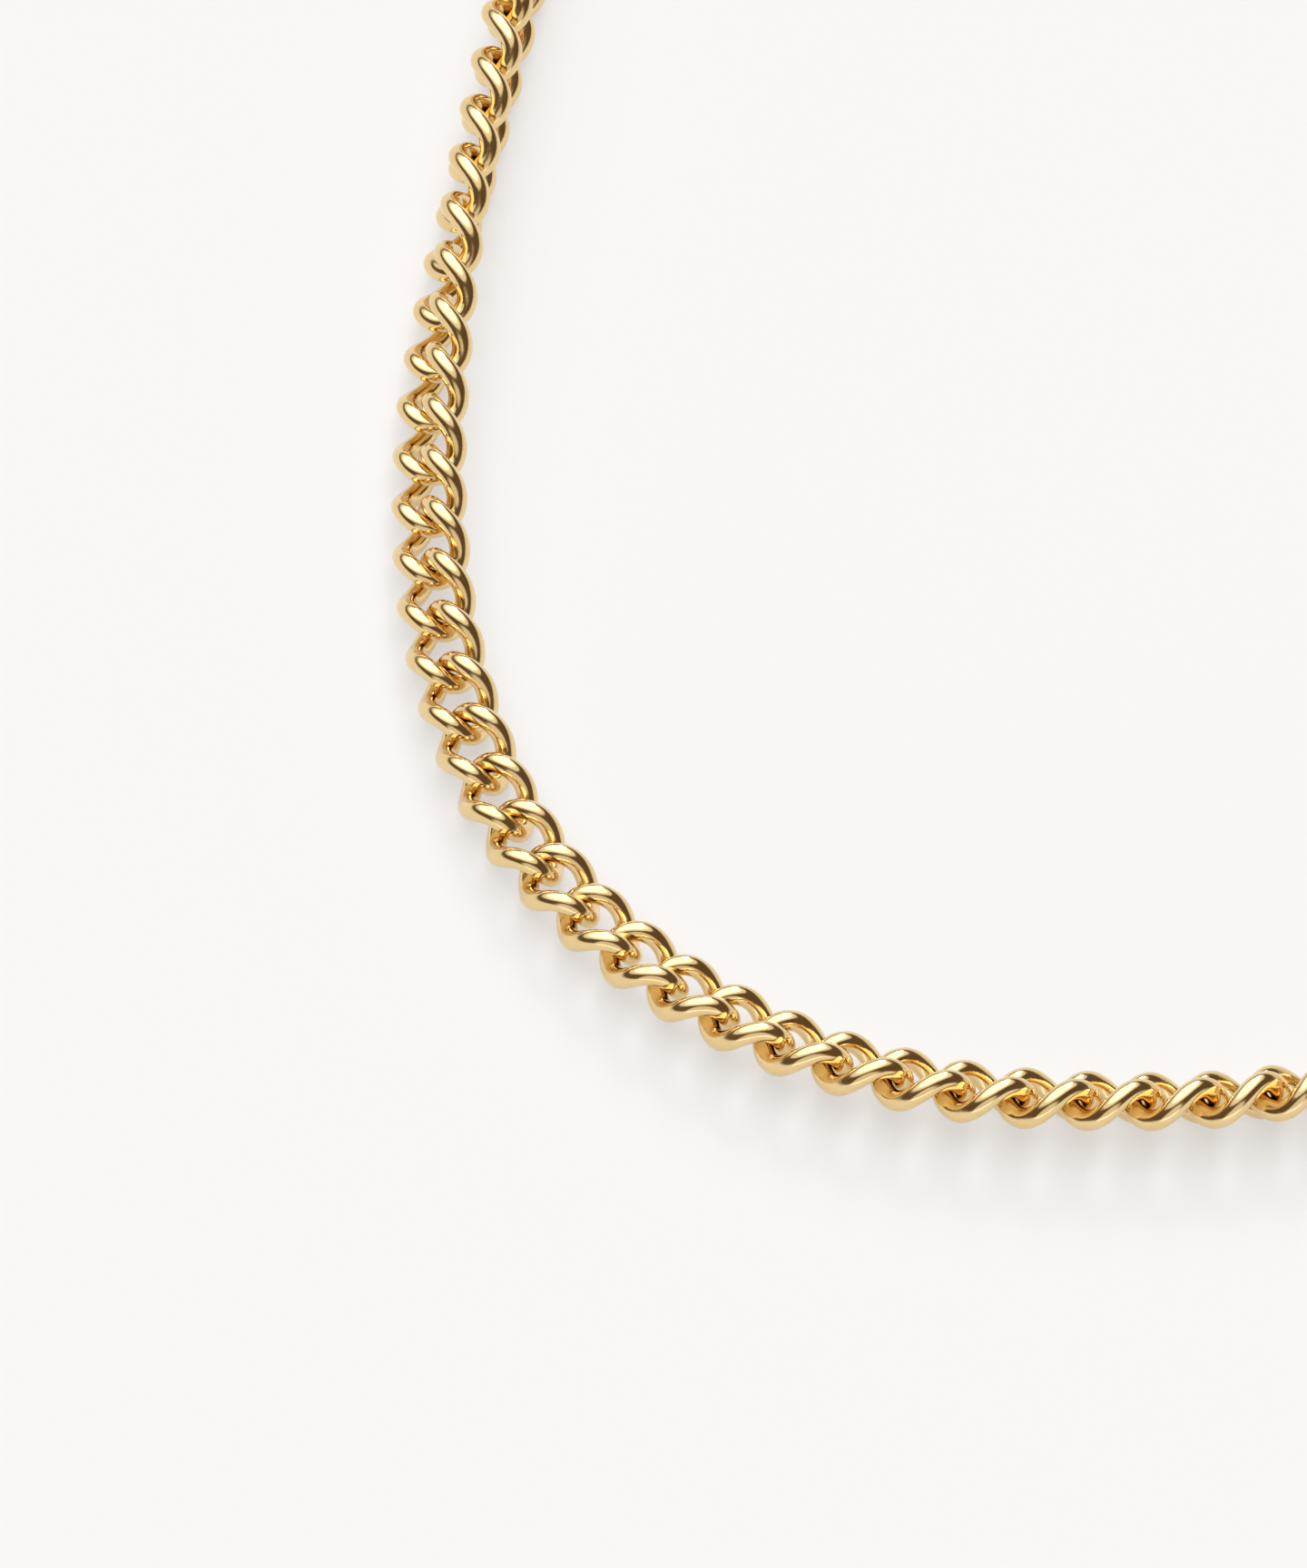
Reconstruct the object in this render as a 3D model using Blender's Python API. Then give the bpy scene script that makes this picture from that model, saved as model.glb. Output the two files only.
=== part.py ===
"""Curb chain necklace, unclasped and laid on a table as an open U.

The chain is a row of identical twisted wire links. It stands partly on its edge, so each link
is also rolled about the chain's own line. A lobster clasp hangs on a jump ring at the left end,
and the ring that it closes on hangs at the right end.

The links in the middle of the chain are separate solids. The two arms are made of runs, and a
run is one plain tube that stands for LINKS_PER_RUN links.
"""

import math

import bmesh
import bpy
import numpy as np
from mathutils import Matrix, Vector

MM = 0.001

# Chain link: an ellipse of round wire, twisted about its long axis
PITCH = 3.0 * MM
WIRE = 1.02 * MM
HOOK_GAP = 0.06 * MM
HALF_WIDTH = 1.47 * MM
END_TWIST = math.radians(50)
HALF_LENGTH = (PITCH + WIRE + HOOK_GAP) / 2
LINK_POINTS = 16
WIRE_BEVEL = 2

# How many links there are, from the left end of the chain to the right
LINKS_PER_RUN = 11
LEFT_RUNS = 4
MIDDLE_LINKS = 36
RIGHT_RUNS = 6
FIRST_MIDDLE = 1 + LEFT_RUNS * LINKS_PER_RUN
FIRST_RIGHT = FIRST_MIDDLE + MIDDLE_LINKS
LAST_LINK = FIRST_RIGHT + RIGHT_RUNS * LINKS_PER_RUN
BOTTOM_LINK = FIRST_MIDDLE + 30

# Plain tube that stands for a run
RUN_RADIUS = 1.25 * MM
RUN_BEVEL = 2
RUN_END_AT_RUN = 1.1 * MM
RUN_END_AT_LINK = 0.1 * MM

# Half of the U, from its lowest point up one arm, in millimetres. The other half mirrors it.
HALF_ROUTE = (
    (0, 0),
    (8.0, 0.6),
    (16.2, 3.3),
    (23.5, 8.4),
    (29.0, 15.5),
    (32.4, 25.0),
    (33.45, 36.0),
    (32.6, 48.0),
    (30.6, 60.0),
    (28.6, 72.0),
    (27.2, 88.0),
    (27.6, 105.0),
    (30.0, 122.0),
    (34.2, 139.0),
    (40.0, 155.0),
    (47.4, 170.0),
    (56.5, 184.0),
    (67.5, 197.0),
    (80.0, 209.0),
)
CURVE_STEPS = 60

# Roll of the chain about its own line, in degrees: 0 is flat on the table, 90 is on its edge
ROLL = (
    (0, 160),
    (6, 178),
    (28, 180),
    (40, 130),
    (47, 98),
    (51, 84),
    (53, 66),
    (55, 47),
    (57, 36),
    (63, -3),
    (67, -20),
    (71, -37),
    (75, -48),
    (80, -56),
    (88, -80),
    (112, -178),
    (141, -180),
    (147, -190),
)

# How far the rings lift the ends of the chain off the table, in millimetres
LIFT = (
    (0, 0.35),
    (5, 0),
    (142, 0),
    (147, 0.1),
)

# Jump ring and the ring that the clasp closes on
RING_WIRE = 0.8 * MM
JUMP_RING_RADIUS = 1.8 * MM
END_RING_RADIUS = 2.3 * MM
RING_POINTS = 20

# Lobster clasp, in millimetres. Its eye is at the origin and its nose points along +X.
CLASP_HEIGHT = 2.2
CLASP_OUTLINE = (
    (-2.0, 0),
    (-1.42, 1.42),
    (0, 2.0),
    (1.45, 1.6),
    (2.7, 1.8),
    (4.6, 2.85),
    (7.0, 3.4),
    (9.5, 3.0),
    (11.4, 1.7),
    (12.2, 0),
    (11.4, -1.7),
    (9.5, -3.0),
    (7.0, -3.4),
    (4.6, -2.85),
    (2.7, -1.8),
    (1.45, -1.6),
    (0, -2.0),
    (-1.42, -1.42),
)
CLASP_OPENING = (
    (4.6, 0.1),
    (5.4, 1.3),
    (7.4, 2.0),
    (9.4, 1.6),
    (10.7, 0.1),
    (9.9, -1.3),
    (8.0, -1.75),
    (5.8, -1.4),
)
EYE_HOLE = 1.25
EYE_LOW = 0.95
EYE_HIGH = 1.95
EYE_END = 1.75
EYE_FROM_WIRE = (0.02, -0.3)
GATE_LOW = (5.0, -4.5, -1.0)
GATE_HIGH = (9.45, -1.0, 3.2)
SLOT_LOW = (2.55, -4.5, 0.5)
SLOT_HIGH = (5.2, -0.6, 1.7)

# Lever of the clasp, its pin and its spring, in millimetres
PIVOT = (3.9, -1.5)
PIN_RADIUS = 0.4
PIN_HOLE = 0.43
LEVER_HOLE = 0.46
LEVER_LOW = 0.6
LEVER_HIGH = 1.6
LEVER_OUTLINE = (
    (3.1, -1.2),
    (3.15, -2.0),
    (2.95, -3.15),
    (3.4, -3.75),
    (4.05, -3.3),
    (4.7, -2.75),
    (6.5, -3.15),
    (8.4, -3.1),
    (9.2, -2.75),
    (9.15, -2.1),
    (8.3, -2.0),
    (6.5, -1.95),
    (5.3, -1.8),
    (4.65, -1.2),
    (3.9, -0.72),
)
SPRING_WIRE = 0.2
SPRING_POINTS = (
    (2.78, -0.75, 1.1),
    (2.74, -1.2, 1.1),
    (2.74, -1.65, 1.1),
    (2.84, -2.05, 1.1),
)

GOLD = (0.86, 0.59, 0.22, 1.0)
STEEL = (0.62, 0.6, 0.57, 1.0)
POLISHED = 0.12
SATIN = 0.3


def clear_scene():
    for obj in list(bpy.data.objects):
        bpy.data.objects.remove(obj, do_unlink=True)


def new_collection(name):
    collection = bpy.data.collections.new(name)
    bpy.context.scene.collection.children.link(collection)
    return collection


def metal(name, colour, roughness):
    material = bpy.data.materials.new(name)
    material.use_nodes = True
    shader = material.node_tree.nodes["Principled BSDF"]
    shader.inputs["Base Color"].default_value = colour
    shader.inputs["Metallic"].default_value = 1.0
    shader.inputs["Roughness"].default_value = roughness
    return material


def link_centreline(count):
    """Points of one link's wire: +X is along the chain, and +Z out of its flat face."""
    angles = np.arange(count) * 2 * math.pi / count
    along = HALF_LENGTH * np.cos(angles)
    across = HALF_WIDTH * np.sin(angles)
    twist = -END_TWIST * np.sin(math.pi / 2 * along / HALF_LENGTH)
    return np.stack([along, across * np.cos(twist), across * np.sin(twist)], axis=1)


def route_curve():
    """Dense points of the whole U, from the left end to the right, by Catmull-Rom."""
    right = np.array(HALF_ROUTE) * MM
    left = right[:0:-1] * (-1, 1)
    points = np.concatenate([left, right])
    padded = np.concatenate([[2 * points[0] - points[1]], points, [2 * points[-1] - points[-2]]])
    steps = np.arange(CURVE_STEPS)[:, None] / CURVE_STEPS
    pieces = []
    for a, b, c, d in zip(padded, padded[1:], padded[2:], padded[3:]):
        bend = 2 * a - 5 * b + 4 * c - d
        swing = 3 * (b - c) + d - a
        pieces.append((2 * b + (c - a) * steps + bend * steps**2 + swing * steps**3) / 2)
    return np.concatenate(pieces + [points[-1:]])


def from_table(table, place):
    """A value read between the rows of a table whose first column is the place."""
    places, values = zip(*table)
    return float(np.interp(place, places, values))


class Chain:
    """Where each link and each hinge between two links lies."""

    def __init__(self):
        self.curve = route_curve()
        steps = np.linalg.norm(np.diff(self.curve, axis=0), axis=1)
        self.length = np.concatenate([[0], np.cumsum(steps)])
        bottom = len(HALF_ROUTE) * CURVE_STEPS - CURVE_STEPS
        self.bottom_length = self.length[bottom]
        self.wire = link_centreline(96)

    def roll(self, place):
        return math.radians(from_table(ROLL, place))

    def height(self, roll):
        """How high the chain's own line is above the table where the chain has this roll."""
        reach = self.wire[:, 1] * math.sin(roll) + self.wire[:, 2] * math.cos(roll)
        return float(np.abs(reach).max()) + WIRE / 2

    def point(self, place):
        """The chain's line at a place, counted in links. Link n has its centre at n."""
        along = self.bottom_length + (place - BOTTOM_LINK) * PITCH
        x = np.interp(along, self.length, self.curve[:, 0])
        y = np.interp(along, self.length, self.curve[:, 1])
        return Vector((x, y, self.height(self.roll(place)) + from_table(LIFT, place) * MM))

    def matrix(self, place):
        """Frame of a link: centred between its two hinges and rolled about the line they give."""
        start = self.point(place - 0.5)
        end = self.point(place + 0.5)
        forward = (end - start).normalized()
        level = Vector((0, 0, 1)).cross(forward).normalized()
        upright = forward.cross(level)
        roll = self.roll(place)
        side = level * math.cos(roll) + upright * math.sin(roll)
        face = forward.cross(side)
        frame = Matrix((forward, side, face)).transposed().to_4x4()
        frame.translation = (start + end) / 2
        return frame


def wire_curve(name, points, thickness, bevel, closed):
    curve = bpy.data.curves.new(name, "CURVE")
    curve.dimensions = "3D"
    curve.bevel_depth = thickness / 2
    curve.bevel_resolution = bevel
    curve.use_fill_caps = not closed
    spline = curve.splines.new("POLY")
    spline.points.add(len(points) - 1)
    for target, point in zip(spline.points, points):
        target.co = (*point, 1)
    spline.use_cyclic_u = closed
    spline.use_smooth = True
    return curve


def add_hinged(name, data, frame, hinge_frame, collection, base):
    """An object with this frame, under an empty that sits on the joint it turns about."""
    hinge = bpy.data.objects.new(name + "_hinge", None)
    hinge.empty_display_size = PITCH
    collection.objects.link(hinge)
    hinge.parent = base
    hinge.matrix_local = hinge_frame
    obj = data
    if not isinstance(data, bpy.types.Object):
        obj = bpy.data.objects.new(name, data)
        collection.objects.link(obj)
    obj.parent = hinge
    obj.matrix_local = hinge_frame.inverted() @ frame
    return obj


def bow_frame(chain, number, end):
    """Frame at the middle of a link's end bow, its Y axis along the wire there."""
    along = Matrix.Translation((end * HALF_LENGTH, 0, 0))
    return chain.matrix(number) @ along @ Matrix.Rotation(-end * END_TWIST, 4, "X")


def inward(number):
    """Which end of a link is nearer the bottom of the U."""
    return 1 if number < BOTTOM_LINK else -1


def joint_frame(chain, number):
    """Frame of the joint on a link's inner side: about its own bow, or at every other link about
    the bow that it hooks into, which lies nearly square to its own.
    """
    end = inward(number)
    if number % 2 == 0:
        return bow_frame(chain, number, end)
    return bow_frame(chain, number + end, -end)


def add_link(name, number, chain, wire, collection, base):
    hinge_frame = joint_frame(chain, number)
    return add_hinged(name, wire, chain.matrix(number), hinge_frame, collection, base)


def add_run(name, first, gold, chain, collection, base):
    """A plain tube along the links first to first + LINKS_PER_RUN - 1, clear of its neighbours."""
    last = first + LINKS_PER_RUN - 1
    meets_link = (1, FIRST_RIGHT)
    ends_at_link = (FIRST_MIDDLE - 1, LAST_LINK - 1)
    before = RUN_END_AT_LINK if first in meets_link else RUN_END_AT_RUN
    after = RUN_END_AT_LINK if last in ends_at_link else RUN_END_AT_RUN
    places = [first - before / PITCH, *range(first + 1, last), last + after / PITCH]
    points = [chain.point(spot) for spot in places]
    tube = wire_curve(name, points, 2 * RUN_RADIUS, RUN_BEVEL, False)
    tube.materials.append(gold)
    nearest = last if first < BOTTOM_LINK else first
    hinge_frame = joint_frame(chain, nearest)
    return add_hinged(name, tube, Matrix.Identity(4), hinge_frame, collection, base)


def ring_frame(chain, number, radius):
    """Frame of a ring that hangs through the outer bow of an end link, square to that bow."""
    end = -inward(number)
    bow = bow_frame(chain, number, end)
    beyond = radius - WIRE / 2 - HOOK_GAP - RING_WIRE / 2
    return bow @ Matrix.Translation((end * beyond, 0, 0)) @ Matrix.Rotation(math.pi / 2, 4, "X")


def add_ring(name, number, radius, gold, chain, collection, base):
    angles = [2 * math.pi * step / RING_POINTS for step in range(RING_POINTS)]
    points = [(radius * math.cos(angle), radius * math.sin(angle), 0) for angle in angles]
    ring = wire_curve(name, points, RING_WIRE, WIRE_BEVEL, True)
    ring.materials.append(gold)
    frame = ring_frame(chain, number, radius)
    hinge_frame = bow_frame(chain, number, -inward(number))
    return add_hinged(name, ring, frame, hinge_frame, collection, base)


def realised(obj, collection):
    """The mesh of a curve object, welded, in a new object that takes its place and name."""
    graph = bpy.context.evaluated_depsgraph_get()
    mesh = bpy.data.meshes.new_from_object(obj.evaluated_get(graph))
    shape = bmesh.new()
    shape.from_mesh(mesh)
    bmesh.ops.remove_doubles(shape, verts=shape.verts, dist=0.001 * MM)
    bmesh.ops.recalc_face_normals(shape, faces=shape.faces)
    shape.to_mesh(mesh)
    shape.free()
    name = obj.name
    bpy.data.objects.remove(obj, do_unlink=True)
    made = bpy.data.objects.new(name, mesh)
    collection.objects.link(made)
    return made


def plate(name, outline, low, high, collection):
    """A flat piece with a smooth outline in the XY plane, from one height to another."""
    curve = bpy.data.curves.new(name, "CURVE")
    curve.dimensions = "2D"
    curve.fill_mode = "BOTH"
    curve.extrude = (high - low) / 2
    curve.resolution_u = 4
    spline = curve.splines.new("BEZIER")
    spline.bezier_points.add(len(outline) - 1)
    for target, (x, y) in zip(spline.bezier_points, outline):
        target.co = (x * MM, y * MM, 0)
        target.handle_left_type = "AUTO"
        target.handle_right_type = "AUTO"
    spline.use_cyclic_u = True
    obj = bpy.data.objects.new(name, curve)
    collection.objects.link(obj)
    made = realised(obj, collection)
    made.data.transform(Matrix.Translation((0, 0, (high + low) / 2)))
    return made


def box(name, low, high, collection):
    shape = bmesh.new()
    bmesh.ops.create_cube(shape, size=1)
    size = Vector(high) - Vector(low)
    middle = (Vector(high) + Vector(low)) / 2
    bmesh.ops.scale(shape, vec=size * MM, verts=shape.verts)
    bmesh.ops.translate(shape, vec=middle * MM, verts=shape.verts)
    mesh = bpy.data.meshes.new(name)
    shape.to_mesh(mesh)
    shape.free()
    made = bpy.data.objects.new(name, mesh)
    collection.objects.link(made)
    return made


def rod(name, centre, radius, low, high, collection):
    shape = bmesh.new()
    bmesh.ops.create_cone(
        shape, cap_ends=True, segments=16, radius1=radius * MM, radius2=radius * MM,
        depth=(high - low) * MM,
    )
    middle = Vector((centre[0], centre[1], (low + high) / 2))
    bmesh.ops.translate(shape, vec=middle * MM, verts=shape.verts)
    mesh = bpy.data.meshes.new(name)
    shape.to_mesh(mesh)
    shape.free()
    made = bpy.data.objects.new(name, mesh)
    collection.objects.link(made)
    return made


def cut(obj, cutters):
    for cutter in cutters:
        cutter.parent = obj
        cutter.hide_render = True
        cutter.display_type = "WIRE"
        modifier = obj.modifiers.new(cutter.name, "BOOLEAN")
        modifier.operation = "DIFFERENCE"
        modifier.solver = "EXACT"
        modifier.object = cutter


def clasp_frame(chain):
    """Frame of the clasp flat on the table, with the jump ring's wire through its eye."""
    ring = ring_frame(chain, 0, JUMP_RING_RADIUS)
    outward = chain.point(0) - chain.point(1)
    outward.z = 0
    outward.normalize()
    up = Vector((0, 0, 1))
    rising = ring.to_3x3() @ Vector((0, 1, 0))
    drop = (ring.translation.z - (EYE_LOW + EYE_HIGH) / 2 * MM) / rising.z
    reach = math.sqrt(JUMP_RING_RADIUS**2 - drop**2)
    wire = ring.translation - rising * drop + outward * reach
    frame = Matrix((outward, up.cross(outward), up)).transposed().to_4x4()
    frame.translation = (wire.x, wire.y, 0)
    return frame @ Matrix.Translation((EYE_FROM_WIRE[0] * MM, EYE_FROM_WIRE[1] * MM, 0))


def add_clasp(gold, steel, chain, collection, cutters, base):
    frame = clasp_frame(chain)
    wire = Matrix.Translation((-EYE_FROM_WIRE[0] * MM, -EYE_FROM_WIRE[1] * MM, 0))
    hinge_frame = frame @ wire
    body = plate("clasp_body", CLASP_OUTLINE, 0, CLASP_HEIGHT * MM, collection)
    body.data.materials.append(gold)
    far = -5.0
    above = 2 * CLASP_HEIGHT
    opening = plate("cut_opening", CLASP_OPENING, -MM, above * MM, cutters)
    cut(body, [
        rod("cut_eye", (0, 0), EYE_HOLE, -1, above, cutters),
        box("cut_under_eye", (far, far, -1), (EYE_END, -far, EYE_LOW), cutters),
        box("cut_over_eye", (far, far, EYE_HIGH), (EYE_END, -far, above), cutters),
        opening,
        box("cut_gate", GATE_LOW, GATE_HIGH, cutters),
        box("cut_slot", SLOT_LOW, SLOT_HIGH, cutters),
        rod("cut_pin", PIVOT, PIN_HOLE, -1, above, cutters),
    ])
    add_hinged("clasp_body", body, frame, hinge_frame, collection, base)

    lever = plate("clasp_lever", LEVER_OUTLINE, LEVER_LOW * MM, LEVER_HIGH * MM, collection)
    lever.data.materials.append(gold)
    cut(lever, [rod("cut_lever", PIVOT, LEVER_HOLE, -1, above, cutters)])
    pivot_frame = frame @ Matrix.Translation((PIVOT[0] * MM, PIVOT[1] * MM, 0))
    add_hinged("clasp_lever", lever, frame, pivot_frame, collection, base)

    pin = rod("clasp_pin", PIVOT, PIN_RADIUS, 0.05, CLASP_HEIGHT - 0.05, collection)
    pin.data.materials.append(steel)
    add_hinged("clasp_pin", pin, frame, pivot_frame, collection, base)

    points = [Vector(point) * MM for point in SPRING_POINTS]
    spring = wire_curve("clasp_spring", points, SPRING_WIRE * MM, WIRE_BEVEL, False)
    spring.materials.append(steel)
    add_hinged("clasp_spring", spring, frame, pivot_frame, collection, base)


def centre(collection, base):
    """Moves the base so that the whole object stands on the origin, centred on it."""
    bpy.context.view_layer.update()
    graph = bpy.context.evaluated_depsgraph_get()
    points = []
    for obj in collection.objects:
        if obj.type == "EMPTY":
            continue
        mesh = obj.evaluated_get(graph).to_mesh()
        points += [obj.matrix_world @ vertex.co for vertex in mesh.vertices]
        obj.evaluated_get(graph).to_mesh_clear()
    points = np.array(points)
    low = points.min(axis=0)
    middle = (low + points.max(axis=0)) / 2
    base.location = (-middle[0], -middle[1], -low[2])


def build():
    clear_scene()
    collection = new_collection("chain_necklace")
    cutters = new_collection("cutters")
    base = bpy.data.objects.new("chain_necklace", None)
    collection.objects.link(base)
    chain = Chain()
    link_gold = metal("link_gold", GOLD, POLISHED)
    run_gold = metal("run_gold", GOLD, POLISHED)
    ring_gold = metal("ring_gold", GOLD, POLISHED)
    clasp_gold = metal("clasp_gold", GOLD, POLISHED)
    steel = metal("clasp_steel", STEEL, SATIN)

    points = [Vector(point) for point in link_centreline(LINK_POINTS)]
    wire = wire_curve("link", points, WIRE, WIRE_BEVEL, True)
    wire.materials.append(link_gold)
    for number in range(FIRST_MIDDLE, FIRST_RIGHT):
        name = f"link_{number - FIRST_MIDDLE + 1:02d}"
        add_link(name, number, chain, wire, collection, base)
    add_link("left_end_link", 0, chain, wire, collection, base)
    add_link("right_end_link", LAST_LINK, chain, wire, collection, base)
    for index in range(LEFT_RUNS):
        first = 1 + (LEFT_RUNS - 1 - index) * LINKS_PER_RUN
        add_run(f"left_chain_{index + 1}", first, run_gold, chain, collection, base)
    for index in range(RIGHT_RUNS):
        first = FIRST_RIGHT + index * LINKS_PER_RUN
        add_run(f"right_chain_{index + 1}", first, run_gold, chain, collection, base)
    add_ring("clasp_jump_ring", 0, JUMP_RING_RADIUS, ring_gold, chain, collection, base)
    add_ring("end_ring", LAST_LINK, END_RING_RADIUS, ring_gold, chain, collection, base)
    add_clasp(clasp_gold, steel, chain, collection, cutters, base)
    centre(collection, base)


build()
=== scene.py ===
"""Looks of a gold curb chain necklace, unclasped and laid on a pale table as an open U."""

import math

import bmesh
import bpy
import numpy as np
from mathutils import Matrix, Vector


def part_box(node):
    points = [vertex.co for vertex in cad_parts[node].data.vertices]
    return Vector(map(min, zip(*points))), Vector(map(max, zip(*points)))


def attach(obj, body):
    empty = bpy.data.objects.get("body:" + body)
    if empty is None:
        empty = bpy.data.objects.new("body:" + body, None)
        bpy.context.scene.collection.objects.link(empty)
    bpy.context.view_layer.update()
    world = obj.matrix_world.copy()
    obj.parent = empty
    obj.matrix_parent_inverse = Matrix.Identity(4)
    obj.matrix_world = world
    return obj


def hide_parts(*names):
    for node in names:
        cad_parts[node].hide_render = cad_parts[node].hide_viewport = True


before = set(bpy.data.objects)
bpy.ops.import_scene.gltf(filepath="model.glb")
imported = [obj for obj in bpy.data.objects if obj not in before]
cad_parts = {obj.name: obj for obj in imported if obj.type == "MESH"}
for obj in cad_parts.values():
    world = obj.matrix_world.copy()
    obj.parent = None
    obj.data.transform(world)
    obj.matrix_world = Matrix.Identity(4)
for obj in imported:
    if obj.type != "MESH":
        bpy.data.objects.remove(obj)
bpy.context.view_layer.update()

MM = 0.001

# Chain link: an ellipse of round wire, twisted about its long axis. The CAD part has the same.
PITCH = 3.0 * MM
WIRE = 1.02 * MM
HOOK_GAP = 0.06 * MM
HALF_WIDTH = 1.47 * MM
END_TWIST = math.radians(50)
HALF_LENGTH = (PITCH + WIRE + HOOK_GAP) / 2
WIRE_POINTS = 72
WIRE_SIDES = 20
HEIGHT_POINTS = 96
FIT_POINTS = 16

# Places along the chain, counted in links from its left end
LINKS_PER_RUN = 11
LEFT_RUNS = 4
MIDDLE_LINKS = 36
RIGHT_RUNS = 6
FIRST_MIDDLE = 1 + LEFT_RUNS * LINKS_PER_RUN
FIRST_RIGHT = FIRST_MIDDLE + MIDDLE_LINKS
LAST_LINK = FIRST_RIGHT + RIGHT_RUNS * LINKS_PER_RUN
BOTTOM_LINK = FIRST_MIDDLE + 30

# Half of the U in millimetres, from its lowest point up one arm
HALF_ROUTE = (
    (0, 0),
    (8.0, 0.6),
    (16.2, 3.3),
    (23.5, 8.4),
    (29.0, 15.5),
    (32.4, 25.0),
    (33.45, 36.0),
    (32.6, 48.0),
    (30.6, 60.0),
    (28.6, 72.0),
    (27.2, 88.0),
    (27.6, 105.0),
    (30.0, 122.0),
    (34.2, 139.0),
    (40.0, 155.0),
    (47.4, 170.0),
    (56.5, 184.0),
    (67.5, 197.0),
    (80.0, 209.0),
)
CURVE_STEPS = 60

# Roll of the chain about its own line in degrees, and lift off the table in millimetres
ROLL = (
    (0, 160),
    (6, 178),
    (28, 180),
    (40, 130),
    (47, 98),
    (51, 84),
    (53, 66),
    (55, 47),
    (57, 36),
    (63, -3),
    (67, -20),
    (71, -37),
    (75, -48),
    (80, -56),
    (88, -80),
    (112, -178),
    (141, -180),
    (147, -190),
)
LIFT = (
    (0, 0.35),
    (5, 0),
    (142, 0),
    (147, 0.1),
)

# Jump ring and the ring that the clasp closes on
RING_WIRE = 0.8 * MM
JUMP_RING_RADIUS = 1.8 * MM
END_RING_RADIUS = 2.3 * MM
RING_POINTS = 144
RING_SIDES = 28
RING_SEAM = math.radians(1.6)

# Lobster clasp, in millimetres. Its eye is at the origin and its nose points along +X.
CLASP_HEIGHT = 2.2
CUT_LOW = -1
CUT_HIGH = 2 * CLASP_HEIGHT
CUT_SIDE = 5.0
CLASP_ROUND = 0.5
CLASP_OUTLINE = (
    (-2.0, 0),
    (-1.42, 1.42),
    (0, 2.0),
    (1.45, 1.6),
    (2.7, 1.8),
    (4.6, 2.85),
    (7.0, 3.4),
    (9.5, 3.0),
    (11.4, 1.7),
    (12.2, 0),
    (11.4, -1.7),
    (9.5, -3.0),
    (7.0, -3.4),
    (4.6, -2.85),
    (2.7, -1.8),
    (1.45, -1.6),
    (0, -2.0),
    (-1.42, -1.42),
)
CLASP_OPENING = (
    (4.6, 0.1),
    (5.4, 1.3),
    (7.4, 2.0),
    (9.4, 1.6),
    (10.7, 0.1),
    (9.9, -1.3),
    (8.0, -1.75),
    (5.8, -1.4),
)
EYE_HOLE = 1.25
EYE_LOW = 0.95
EYE_HIGH = 1.95
EYE_END = 1.75
EYE_FROM_WIRE = (0.02, -0.3)
GATE_LOW = (5.0, -4.5, -1.0)
GATE_HIGH = (9.45, -1.0, 3.2)
SLOT_LOW = (2.55, -4.5, 0.5)
SLOT_HIGH = (5.2, -0.6, 1.7)
EDGE_ROUND = 0.07
EDGE_STEPS = 3
EDGE_ANGLE = math.radians(40)
SMOOTH_ANGLE = math.radians(50)
ROUND_STEPS = 6
OUTLINE_STEPS = 16
WELD = 0.0005 * MM

# Lever of the clasp, its pin and its spring, in millimetres
PIVOT = (3.9, -1.5)
PIN_RADIUS = 0.4
PIN_HOLE = 0.43
PIN_LOW = 0.05
PIN_DOME = 0.12
PIN_SIDES = 40
DOME_POINTS = 7
LEVER_HOLE = 0.46
LEVER_LOW = 0.6
LEVER_HIGH = 1.6
LEVER_ROUND = 0.25
LEVER_OUTLINE = (
    (3.1, -1.2),
    (3.15, -2.0),
    (2.95, -3.15),
    (3.4, -3.75),
    (4.05, -3.3),
    (4.7, -2.75),
    (6.5, -3.15),
    (8.4, -3.1),
    (9.2, -2.75),
    (9.15, -2.1),
    (8.3, -2.0),
    (6.5, -1.95),
    (5.3, -1.8),
    (4.65, -1.2),
    (3.9, -0.72),
)
SPRING_WIRE = 0.2
SPRING_SIDES = 20
SPRING_STEPS = 40
SPRING_SMOOTHING = 12
# The spring's ends: where they start to thin, over what share of it, and how thin they get, squared
SPRING_FULL = 0.9
SPRING_TAPER = 0.1
SPRING_TIP = 0.04
SPRING_POINTS = (
    (2.78, -0.75, 1.1),
    (2.74, -1.2, 1.1),
    (2.74, -1.65, 1.1),
    (2.84, -2.05, 1.1),
)

# Finish of the metal: the grain of its tint, haze and ripple
TINT_NOISE = {"Scale": 900.0, "Detail": 3.0, "Roughness": 0.55}
TINT_SPAN = (0.3, 0.7)
HAZE_NOISE = {"Scale": 2600.0, "Detail": 4.0, "Roughness": 0.6}
HAZE_SPAN = (0.35, 0.75)
HAZE_ROUGHNESS = 0.1
RIPPLE_NOISE = {"Scale": 1500.0, "Detail": 2.0, "Roughness": 0.5}
RIPPLE_STRENGTH = 0.12
RIPPLE_DEPTH = 0.00006

# Camera: the spot on the table that it looks at, in millimetres from the lowest point of the U, its
# distance in millimetres, its height and turn, its lens, and how near and far it sees in metres
VIEW_TARGET = (-22.13, 18.61)
VIEW_DISTANCE = 679.0
VIEW_ELEVATION = math.radians(57.57)
VIEW_AZIMUTH = math.radians(1.12)
VIEW_LENS = 386.8
SENSOR_WIDTH = 36
VIEW_NEAR = 0.01
VIEW_FAR = 50


# ------------------------------------------------------------------ the chain's line


def from_table(table, place):
    places, values = zip(*table)
    return float(np.interp(place, places, values))


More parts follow.
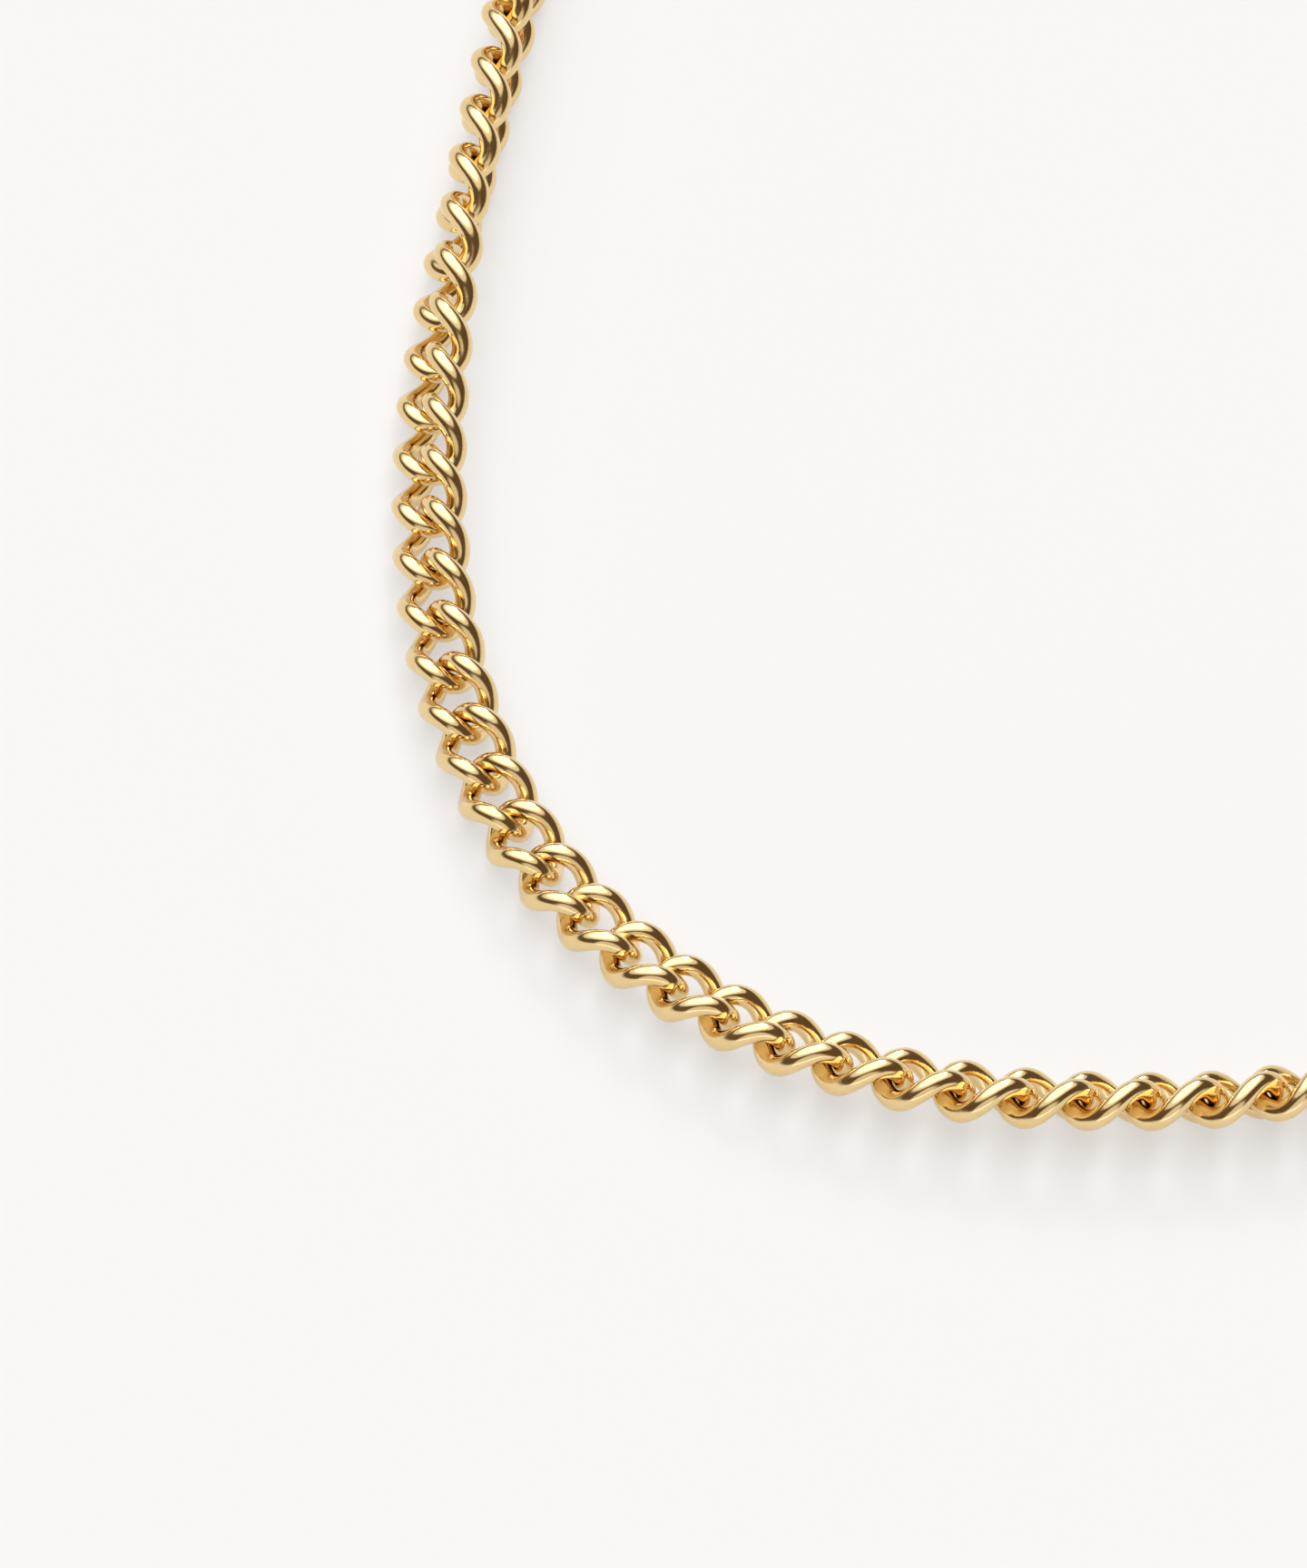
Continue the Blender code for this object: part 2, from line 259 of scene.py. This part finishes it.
def link_centreline(count):
    """Points of one link's wire: +X is along the chain, and +Z out of its flat face."""
    angles = np.arange(count) * 2 * math.pi / count
    along = HALF_LENGTH * np.cos(angles)
    across = HALF_WIDTH * np.sin(angles)
    twist = -END_TWIST * np.sin(math.pi / 2 * along / HALF_LENGTH)
    return np.stack([along, across * np.cos(twist), across * np.sin(twist)], axis=1)


def route_curve():
    right = np.array(HALF_ROUTE) * MM
    left = right[:0:-1] * (-1, 1)
    points = np.concatenate([left, right])
    padded = np.concatenate([[2 * points[0] - points[1]], points, [2 * points[-1] - points[-2]]])
    steps = np.arange(CURVE_STEPS)[:, None] / CURVE_STEPS
    pieces = []
    for a, b, c, d in zip(padded, padded[1:], padded[2:], padded[3:]):
        bend = 2 * a - 5 * b + 4 * c - d
        swing = 3 * (b - c) + d - a
        pieces.append((2 * b + (c - a) * steps + bend * steps**2 + swing * steps**3) / 2)
    return np.concatenate(pieces + [points[-1:]])


class Chain:
    """Where each link lies, as in the CAD part, shifted so that it lies on the CAD links."""

    def __init__(self):
        self.curve = route_curve()
        steps = np.linalg.norm(np.diff(self.curve, axis=0), axis=1)
        self.length = np.concatenate([[0], np.cumsum(steps)])
        self.bottom_length = self.length[(len(HALF_ROUTE) - 1) * CURVE_STEPS]
        self.wire = link_centreline(HEIGHT_POINTS)
        self.shift = Vector((0, 0, 0))
        low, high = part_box(link_name(BOTTOM_LINK))
        points = np.array([self.matrix(BOTTOM_LINK) @ Vector(p) for p in link_centreline(FIT_POINTS)])
        middle = (points.min(axis=0) + points.max(axis=0)) / 2
        self.shift = (low + high) / 2 - Vector(middle)

    def roll(self, place):
        return math.radians(from_table(ROLL, place))

    def height(self, roll):
        reach = self.wire[:, 1] * math.sin(roll) + self.wire[:, 2] * math.cos(roll)
        return float(np.abs(reach).max()) + WIRE / 2

    def point(self, place):
        along = self.bottom_length + (place - BOTTOM_LINK) * PITCH
        x = np.interp(along, self.length, self.curve[:, 0])
        y = np.interp(along, self.length, self.curve[:, 1])
        z = self.height(self.roll(place)) + from_table(LIFT, place) * MM
        return Vector((x, y, z)) + self.shift

    def matrix(self, place):
        start = self.point(place - 0.5)
        end = self.point(place + 0.5)
        forward = (end - start).normalized()
        level = Vector((0, 0, 1)).cross(forward).normalized()
        upright = forward.cross(level)
        roll = self.roll(place)
        side = level * math.cos(roll) + upright * math.sin(roll)
        face = forward.cross(side)
        matrix = Matrix((forward, side, face)).transposed().to_4x4()
        matrix.translation = (start + end) / 2
        return matrix


def link_name(number):
    return f"link_{number - FIRST_MIDDLE + 1:02d}"


# ------------------------------------------------------------------ meshes

# Lies along no wire's start, so it gives each wire its first side
ODD_DIRECTION = (0.123, 0.456, 0.881)


def tube_mesh(centreline, radius, sides, closed=True):
    """Vertices and faces of a round wire along a closed line of points."""
    count = len(centreline)
    points = np.asarray(centreline, float)
    tangents = np.roll(points, -1, axis=0) - np.roll(points, 1, axis=0)
    if not closed:
        tangents[0] = points[1] - points[0]
        tangents[-1] = points[-1] - points[-2]
    tangents /= np.linalg.norm(tangents, axis=1)[:, None]
    normal = np.cross(tangents[0], ODD_DIRECTION)
    normals = []
    for tangent in tangents:
        normal = normal - tangent * np.dot(normal, tangent)
        normal = normal / np.linalg.norm(normal)
        normals.append(normal)
    normals = np.array(normals)
    if closed:
        carried = normals[-1] - tangents[0] * np.dot(normals[-1], tangents[0])
        carried /= np.linalg.norm(carried)
        binormal = np.cross(tangents[0], normals[0])
        slip = math.atan2(np.dot(carried, binormal), np.dot(carried, normals[0]))
        turn = -slip * np.arange(count) / count
        binormals = np.cross(tangents, normals)
        normals = normals * np.cos(turn)[:, None] + binormals * np.sin(turn)[:, None]
    binormals = np.cross(tangents, normals)
    angles = np.arange(sides) * 2 * math.pi / sides
    ring = (
        normals[:, None, :] * np.cos(angles)[None, :, None]
        + binormals[:, None, :] * np.sin(angles)[None, :, None]
    )
    radius = np.broadcast_to(np.asarray(radius, float), (count,))
    vertices = (points[:, None, :] + ring * radius[:, None, None]).reshape(-1, 3)
    faces = []
    for row in range(count if closed else count - 1):
        following = (row + 1) % count
        for side in range(sides):
            beside = (side + 1) % sides
            faces.append(
                (
                    row * sides + side,
                    row * sides + beside,
                    following * sides + beside,
                    following * sides + side,
                )
            )
    if not closed:
        faces.append(tuple(range(sides - 1, -1, -1)))
        faces.append(tuple((count - 1) * sides + side for side in range(sides)))
    return vertices, faces


def smooth_faces(mesh):
    mesh.polygons.foreach_set("use_smooth", [True] * len(mesh.polygons))


def new_mesh(name, vertices, faces, smooth=True):
    mesh = bpy.data.meshes.new(name)
    mesh.from_pydata([tuple(v) for v in vertices], [], faces)
    if smooth:
        smooth_faces(mesh)
    mesh.update()
    return mesh


def linked(name, data):
    obj = bpy.data.objects.new(name, data)
    bpy.context.scene.collection.objects.link(obj)
    return obj


def new_piece(name, vertices, faces, material, smooth=True):
    mesh = new_mesh(name, vertices, faces, smooth)
    mesh.materials.append(material)
    return linked(name, mesh)


# ------------------------------------------------------------------ materials


def add_node(tree, kind, inputs=None, **settings):
    """A new node; an input is either another node's socket, which is linked, or a value."""
    node = tree.nodes.new(kind)
    for key, value in settings.items():
        setattr(node, key, value)
    for key, value in (inputs or {}).items():
        if isinstance(value, bpy.types.NodeSocket):
            tree.links.new(value, node.inputs[key])
        else:
            node.inputs[key].default_value = value
    return node


class Nodes:
    """Short calls for building a material's node tree."""

    def __init__(self, name):
        self.material = bpy.data.materials.new(name)
        self.material.use_nodes = True
        self.tree = self.material.node_tree
        self.shader = self.tree.nodes["Principled BSDF"]

    def add(self, kind, inputs=None, **settings):
        return add_node(self.tree, kind, inputs, **settings)

    def link(self, source, target):
        self.tree.links.new(source, target)


def metal_material(name, colour, deep, roughness, scale=1.0):
    """Polished metal: its tint varies a little, with patches of haze and a faint ripple."""
    nodes = Nodes(name)
    shader = nodes.shader
    shader.inputs["Metallic"].default_value = 1.0
    coords = nodes.add("ShaderNodeTexCoord").outputs["Object"]

    def noise(grain):
        inputs = {**grain, "Vector": coords, "Scale": grain["Scale"] * scale}
        return nodes.add("ShaderNodeTexNoise", inputs).outputs["Fac"]

    tint = nodes.add("ShaderNodeMapRange", {
        "Value": noise(TINT_NOISE),
        "From Min": TINT_SPAN[0],
        "From Max": TINT_SPAN[1],
    })
    mix = nodes.add("ShaderNodeMix", data_type="RGBA")
    mix.inputs["A"].default_value = deep
    mix.inputs["B"].default_value = colour
    nodes.link(tint.outputs["Result"], mix.inputs["Factor"])
    nodes.link(mix.outputs["Result"], shader.inputs["Base Color"])
    rough = nodes.add("ShaderNodeMapRange", {
        "Value": noise(HAZE_NOISE),
        "From Min": HAZE_SPAN[0],
        "From Max": HAZE_SPAN[1],
        "To Min": roughness,
        "To Max": roughness + HAZE_ROUGHNESS,
    })
    nodes.link(rough.outputs["Result"], shader.inputs["Roughness"])
    bump = nodes.add("ShaderNodeBump", {
        "Strength": RIPPLE_STRENGTH,
        "Distance": RIPPLE_DEPTH,
        "Height": noise(RIPPLE_NOISE),
    })
    nodes.link(bump.outputs["Normal"], shader.inputs["Normal"])
    return nodes.material


# ------------------------------------------------------------------ the necklace

chain = Chain()
gold = metal_material("gold_links", (0.86, 0.65, 0.34, 1), (0.83, 0.61, 0.29, 1), 0.09)
ring_gold = metal_material("gold_rings", (0.86, 0.65, 0.34, 1), (0.82, 0.6, 0.28, 1), 0.11)
clasp_gold = metal_material("gold_clasp", (0.85, 0.64, 0.33, 1), (0.81, 0.59, 0.28, 1), 0.14, 0.6)
clasp_steel = metal_material("clasp_steel", (0.66, 0.64, 0.6, 1), (0.52, 0.5, 0.47, 1), 0.2, 1.4)

link_vertices, link_faces = tube_mesh(link_centreline(WIRE_POINTS), WIRE / 2, WIRE_SIDES)


def declare(piece, node, body=None):
    """Ties a piece to its CAD node: what it moves with, and the CAD part it stands for, which is
    hidden.
    """
    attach(piece, body or node)
    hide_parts(node)


def add_links(name, numbers, node):
    """The real links of one CAD node, joined into one piece that moves with its body."""
    vertices = []
    faces = []
    for number in numbers:
        matrix = np.array(chain.matrix(number))
        start = len(vertices) * len(link_vertices)
        vertices.append(link_vertices @ matrix[:3, :3].T + matrix[:3, 3])
        faces += [tuple(start + index for index in face) for face in link_faces]
    declare(new_piece(name, np.concatenate(vertices), faces, gold), node)


for number in range(FIRST_MIDDLE, FIRST_RIGHT):
    add_links(f"gold_{link_name(number)}", [number], link_name(number))
add_links("gold_left_end_link", [0], "left_end_link")
add_links("gold_right_end_link", [LAST_LINK], "right_end_link")
for index in range(LEFT_RUNS):
    first = 1 + (LEFT_RUNS - 1 - index) * LINKS_PER_RUN
    node = f"left_chain_{index + 1}"
    add_links(f"gold_{node}", range(first, first + LINKS_PER_RUN), node)
for index in range(RIGHT_RUNS):
    first = FIRST_RIGHT + index * LINKS_PER_RUN
    node = f"right_chain_{index + 1}"
    add_links(f"gold_{node}", range(first, first + LINKS_PER_RUN), node)


# ------------------------------------------------------------------ rings and clasp


def bow_frame(number, end):
    """Frame at the middle of a link's end bow, its Y axis along the wire there."""
    along = Matrix.Translation((end * HALF_LENGTH, 0, 0))
    return chain.matrix(number) @ along @ Matrix.Rotation(-end * END_TWIST, 4, "X")


def ring_frame(number, end, radius):
    """Frame of a ring that hangs through the outer bow of an end link, square to that bow."""
    beyond = radius - WIRE / 2 - HOOK_GAP - RING_WIRE / 2
    turned = Matrix.Rotation(math.pi / 2, 4, "X")
    return bow_frame(number, end) @ Matrix.Translation((end * beyond, 0, 0)) @ turned


def add_ring(node, number, end, radius, seam):
    """A round wire ring; a seam leaves the fine cut where a jump ring is pressed shut."""
    steps = np.linspace(0, 1, RING_POINTS, endpoint=seam > 0)
    angles = math.pi + seam / 2 + steps * (2 * math.pi - seam)
    points = np.stack([radius * np.cos(angles), radius * np.sin(angles), 0 * angles], axis=1)
    vertices, faces = tube_mesh(points, RING_WIRE / 2, RING_SIDES, closed=seam == 0)
    matrix = np.array(ring_frame(number, end, radius))
    vertices = vertices @ matrix[:3, :3].T + matrix[:3, 3]
    declare(new_piece(f"gold_{node}", vertices, faces, ring_gold), node)


def clasp_frame():
    """Frame of the clasp flat on the table, with the jump ring's wire through its eye."""
    ring = ring_frame(0, -1, JUMP_RING_RADIUS)
    outward = chain.point(0) - chain.point(1)
    outward.z = 0
    outward.normalize()
    up = Vector((0, 0, 1))
    rising = ring.to_3x3() @ Vector((0, 1, 0))
    height = ring.translation.z - chain.shift.z
    drop = (height - (EYE_LOW + EYE_HIGH) / 2 * MM) / rising.z
    reach = math.sqrt(JUMP_RING_RADIUS**2 - drop**2)
    wire = ring.translation - rising * drop + outward * reach
    matrix = Matrix((outward, up.cross(outward), up)).transposed().to_4x4()
    matrix.translation = (wire.x, wire.y, chain.shift.z)
    return matrix @ Matrix.Translation((EYE_FROM_WIRE[0] * MM, EYE_FROM_WIRE[1] * MM, 0))


def to_mesh(obj, name):
    """The welded mesh of an object with its modifiers; the object itself is removed."""
    graph = bpy.context.evaluated_depsgraph_get()
    mesh = bpy.data.meshes.new_from_object(obj.evaluated_get(graph))
    mesh.name = name
    shape = bmesh.new()
    shape.from_mesh(mesh)
    bmesh.ops.remove_doubles(shape, verts=shape.verts, dist=WELD)
    bmesh.ops.recalc_face_normals(shape, faces=shape.faces)
    shape.to_mesh(mesh)
    shape.free()
    bpy.data.objects.remove(obj, do_unlink=True)
    return mesh


def plate(name, outline, low, high, rounding=0.0):
    """A flat piece with a smooth outline and rounded edges, from one height to another."""
    curve = bpy.data.curves.new(name, "CURVE")
    curve.dimensions = "2D"
    curve.fill_mode = "BOTH"
    curve.extrude = ((high - low) / 2 - rounding) * MM
    curve.bevel_depth = rounding * MM
    curve.bevel_resolution = ROUND_STEPS
    curve.offset = -rounding * MM
    curve.resolution_u = OUTLINE_STEPS
    spline = curve.splines.new("BEZIER")
    spline.bezier_points.add(len(outline) - 1)
    for point, (x, y) in zip(spline.bezier_points, outline):
        point.co = (x * MM, y * MM, 0)
        point.handle_left_type = "AUTO"
        point.handle_right_type = "AUTO"
    spline.use_cyclic_u = True
    mesh = to_mesh(linked(name, curve), name)
    mesh.transform(Matrix.Translation((0, 0, (high + low) / 2 * MM)))
    return linked(name, mesh)


def box(name, low, high):
    shape = bmesh.new()
    bmesh.ops.create_cube(shape, size=1)
    size = Vector(high) - Vector(low)
    bmesh.ops.scale(shape, vec=size * MM, verts=shape.verts)
    bmesh.ops.translate(shape, vec=(Vector(high) + Vector(low)) / 2 * MM, verts=shape.verts)
    mesh = bpy.data.meshes.new(name)
    shape.to_mesh(mesh)
    shape.free()
    return linked(name, mesh)


def turned_mesh(profile, sides):
    """Vertices and faces of a closed solid turned about +Z; the profile runs from axis to axis."""
    angles = np.arange(sides) * 2 * math.pi / sides
    vertices = [(0, 0, profile[0][1])]
    for radius, height in profile[1:-1]:
        vertices += [(radius * math.cos(a), radius * math.sin(a), height) for a in angles]
    vertices.append((0, 0, profile[-1][1]))
    rows = len(profile) - 2
    last = len(vertices) - 1
    faces = []
    for side in range(sides):
        beside = (side + 1) % sides
        faces.append((0, 1 + beside, 1 + side))
        for row in range(rows - 1):
            low = 1 + row * sides
            high = low + sides
            faces.append((low + side, low + beside, high + beside, high + side))
        top = 1 + (rows - 1) * sides
        faces.append((top + side, top + beside, last))
    return np.array(vertices) * MM, faces


def rod(name, centre, radius, low, high, sides=48):
    vertices, faces = turned_mesh([(0, low), (radius, low), (radius, high), (0, high)], sides)
    mesh = new_mesh(name, vertices, faces, smooth=False)
    mesh.transform(Matrix.Translation((centre[0] * MM, centre[1] * MM, 0)))
    return linked(name, mesh)


def carved(obj, cutters, name):
    """The object with the cutters taken away, and its new edges slightly rounded."""
    for cutter in cutters:
        modifier = obj.modifiers.new(cutter.name, "BOOLEAN")
        modifier.operation = "DIFFERENCE"
        modifier.solver = "EXACT"
        modifier.object = cutter
    edges = obj.modifiers.new("edges", "BEVEL")
    edges.width = EDGE_ROUND * MM
    edges.segments = EDGE_STEPS
    edges.limit_method = "ANGLE"
    edges.angle_limit = EDGE_ANGLE
    mesh = to_mesh(obj, name)
    for cutter in cutters:
        bpy.data.objects.remove(cutter, do_unlink=True)
    smooth_faces(mesh)
    mesh.set_sharp_from_angle(angle=SMOOTH_ANGLE)
    return mesh


def clasp_piece(node, mesh, material, body="clasp"):
    """Lays a clasp mesh on its CAD node."""
    mesh.transform(clasp_frame())
    mesh.materials.clear()
    mesh.materials.append(material)
    piece = linked(mesh.name, mesh)
    normals = piece.modifiers.new("normals", "WEIGHTED_NORMAL")
    normals.keep_sharp = True
    declare(piece, node, body)


def add_clasp():
    body = plate("body", CLASP_OUTLINE, 0, CLASP_HEIGHT, CLASP_ROUND)
    body = carved(body, [
        rod("cut_eye", (0, 0), EYE_HOLE, CUT_LOW, CUT_HIGH),
        box("cut_under_eye", (-CUT_SIDE, -CUT_SIDE, CUT_LOW), (EYE_END, CUT_SIDE, EYE_LOW)),
        box("cut_over_eye", (-CUT_SIDE, -CUT_SIDE, EYE_HIGH), (EYE_END, CUT_SIDE, CUT_HIGH)),
        plate("cut_opening", CLASP_OPENING, CUT_LOW, CUT_HIGH),
        box("cut_gate", GATE_LOW, GATE_HIGH),
        box("cut_slot", SLOT_LOW, SLOT_HIGH),
        rod("cut_pin", PIVOT, PIN_HOLE, CUT_LOW, CUT_HIGH),
    ], "gold_clasp_body")
    clasp_piece("clasp_body", body, clasp_gold)

    lever = plate("lever", LEVER_OUTLINE, LEVER_LOW, LEVER_HIGH, LEVER_ROUND)
    hole = rod("cut_lever", PIVOT, LEVER_HOLE, CUT_LOW, CUT_HIGH)
    lever = carved(lever, [hole], "gold_clasp_lever")
    clasp_piece("clasp_lever", lever, clasp_gold, "clasp_lever")

    top = CLASP_HEIGHT - PIN_LOW
    rises = np.linspace(0, math.pi / 2, DOME_POINTS)
    dome = [(PIN_RADIUS * math.cos(a), PIN_DOME * math.sin(a)) for a in rises]
    profile = [(radius, PIN_LOW + PIN_DOME - rise) for radius, rise in dome[::-1]]
    profile += [(radius, top - PIN_DOME + rise) for radius, rise in dome]
    pin = new_mesh("steel_clasp_pin", *turned_mesh(profile, PIN_SIDES))
    pin.transform(Matrix.Translation((PIVOT[0] * MM, PIVOT[1] * MM, 0)))
    clasp_piece("clasp_pin", pin, clasp_steel)

    known = range(len(SPRING_POINTS))
    places = np.linspace(0, len(SPRING_POINTS) - 1, SPRING_STEPS)
    columns = [np.interp(places, known, column) for column in np.array(SPRING_POINTS).T]
    points = np.stack(columns, axis=1)
    for _ in range(SPRING_SMOOTHING):
        points[1:-1] = (points[:-2] + 2 * points[1:-1] + points[2:]) / 4
    beyond = (np.abs(np.linspace(-1, 1, SPRING_STEPS)) - SPRING_FULL) / SPRING_TAPER
    ends = np.sqrt(np.clip(1 - beyond.clip(0) ** 2, SPRING_TIP, 1))
    tube = tube_mesh(points * MM, SPRING_WIRE / 2 * MM * ends, SPRING_SIDES, closed=False)
    spring = new_mesh("steel_clasp_spring", *tube)
    clasp_piece("clasp_spring", spring, clasp_steel)


add_ring("clasp_jump_ring", 0, -1, JUMP_RING_RADIUS, RING_SEAM)
add_ring("end_ring", LAST_LINK, 1, END_RING_RADIUS, 0)
add_clasp()


# ------------------------------------------------------------------ floor, light and camera

# Half the table's width in metres, and the dim warm room around it
FLOOR = 3.0
SKY = (0.125, 0.085, 0.05)
# Soft lamps far away: direction, radius and soft edge in degrees, brightness
LAMPS = (
    ((-0.15, 0.4, 0.9), 32, 7, 1.3),
    ((-0.15, 0.35, 0.92), 46, 6, 0.85),
    ((0.0, -1.0, 0.35), 24, 12, 0.7),
)
# Pale backdrop above the far edge of the table: its colour, and how high it stays plain and ends
BACKDROP = (0.81, 0.85, 0.89)
BACKDROP_PLAIN = math.radians(5)
BACKDROP_END = math.radians(15)
# Small brighter lamp behind the necklace: direction, width in degrees, strength
KEY_AIM = (0.12, 0.83, 0.54)
KEY_WIDTH = math.radians(17)
KEY_STRENGTH = 0.95
# The table is a pale sheet with a painted glow: it gives off light itself as painted fill light, so
# shadows on it stay light
TABLE = (0.34, 0.348, 0.355)
TABLE_PAINTED_GLOW = (0.53, 0.52, 0.512)
TABLE_ROUGHNESS = 0.9
TABLE_SHEEN = 0.1


def pale_floor():
    nodes = Nodes("pale_table")
    nodes.shader.inputs["Base Color"].default_value = (*TABLE, 1)
    # Painted glow: the table gives off light itself, as painted fill light that keeps shadows on it
    # light
    nodes.shader.inputs["Emission Color"].default_value = (*TABLE_PAINTED_GLOW, 1)
    nodes.shader.inputs["Emission Strength"].default_value = 1
    nodes.shader.inputs["Roughness"].default_value = TABLE_ROUGHNESS
    nodes.shader.inputs["Specular IOR Level"].default_value = TABLE_SHEEN
    corners = [(-FLOOR, -FLOOR, 0), (FLOOR, -FLOOR, 0), (FLOOR, FLOOR, 0), (-FLOOR, FLOOR, 0)]
    floor = new_piece("floor", corners, [(0, 1, 2, 3)], nodes.material, smooth=False)


def studio_sky():
    """A dim room with a few soft lamps and a pale backdrop, all of it far away."""
    world = bpy.data.worlds.new("studio")
    bpy.context.scene.world = world
    world.use_nodes = True
    tree = world.node_tree
    direction = add_node(tree, "ShaderNodeTexCoord").outputs["Generated"]
    total = add_node(tree, "ShaderNodeCombineXYZ", dict(zip("XYZ", SKY))).outputs["Vector"]
    for aim, radius, edge, brightness in LAMPS:
        facing = add_node(
            tree,
            "ShaderNodeVectorMath",
            {0: direction, 1: Vector(aim).normalized()},
            operation="DOT_PRODUCT",
        )
        lamp = {
            "Value": facing.outputs["Value"],
            "From Min": math.cos(math.radians(radius + edge)),
            "From Max": math.cos(math.radians(radius)),
            "To Max": brightness,
        }
        falloff = add_node(tree, "ShaderNodeMapRange", lamp, interpolation_type="SMOOTHSTEP")
        sum_inputs = {0: total, 1: falloff.outputs["Result"]}
        total = add_node(tree, "ShaderNodeVectorMath", sum_inputs, operation="ADD").outputs["Vector"]
    fade = {
        "Value": add_node(tree, "ShaderNodeSeparateXYZ", {"Vector": direction}).outputs["Z"],
        "From Min": math.sin(BACKDROP_PLAIN),
        "From Max": math.sin(BACKDROP_END),
        "To Min": 1,
        "To Max": 0,
    }
    fading = add_node(tree, "ShaderNodeMapRange", fade, interpolation_type="SMOOTHSTEP")
    backdrop_inputs = {0: BACKDROP, 1: fading.outputs["Result"], 2: total}
    backdrop = add_node(tree, "ShaderNodeVectorMath", backdrop_inputs, operation="MULTIPLY_ADD")
    tree.links.new(backdrop.outputs["Vector"], tree.nodes["Background"].inputs["Color"])


def key_light():
    light = bpy.data.lights.new("key", "SUN")
    light.angle = KEY_WIDTH
    light.energy = KEY_STRENGTH
    linked("key", light).rotation_euler = Vector(KEY_AIM).to_track_quat("Z", "Y").to_euler()


pale_floor()
studio_sky()
key_light()
bpy.context.scene.view_settings.view_transform = "Standard"
target = Vector((VIEW_TARGET[0] * MM, VIEW_TARGET[1] * MM, 0))
target += Vector((chain.shift.x, chain.shift.y, 0))
camera = bpy.data.cameras.new("camera")
camera.sensor_fit = "HORIZONTAL"
camera.sensor_width = SENSOR_WIDTH
camera.lens = VIEW_LENS
camera.clip_start = VIEW_NEAR
camera.clip_end = VIEW_FAR
camera_object = linked("camera", camera)
around = Matrix.Rotation(VIEW_AZIMUTH, 3, "Z")
away = around @ Vector((0, -math.cos(VIEW_ELEVATION), math.sin(VIEW_ELEVATION)))
camera_object.location = target + away * VIEW_DISTANCE * MM
camera_object.rotation_euler = (math.pi / 2 - VIEW_ELEVATION, 0, VIEW_AZIMUTH)
bpy.context.scene.camera = camera_object
